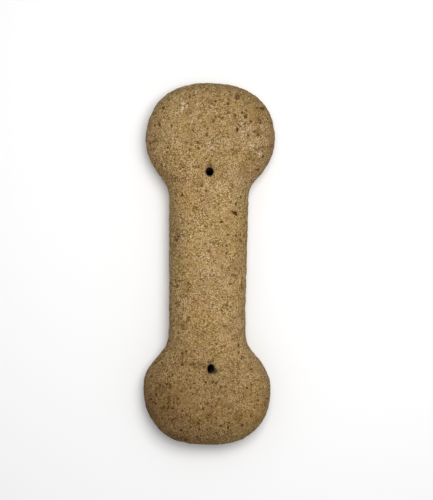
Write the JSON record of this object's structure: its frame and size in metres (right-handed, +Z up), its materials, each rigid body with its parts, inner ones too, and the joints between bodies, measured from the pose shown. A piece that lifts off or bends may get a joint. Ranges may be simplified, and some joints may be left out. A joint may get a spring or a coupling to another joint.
{
  "type": "bone-shaped dog biscuit",
  "caption": "Baked bone-shaped dog biscuit with rounded knobs at both ends, rolled edges, a flat underside and docking holes through the dough.",
  "frame": {"origin": "on the surface the biscuit lies on, under the middle of its bounding box", "axes": "+Y along the bone, towards the knob whose neck is the gentler; +Z up through the crust with the rolled edge; +X across the bone"},
  "size_m": [0.0394, 0.11, 0.0151],
  "materials": {
    "crust": "matte"
  },
  "bodies": {
    "root": {"biscuit": "crust"}
  },
  "joints": []
}
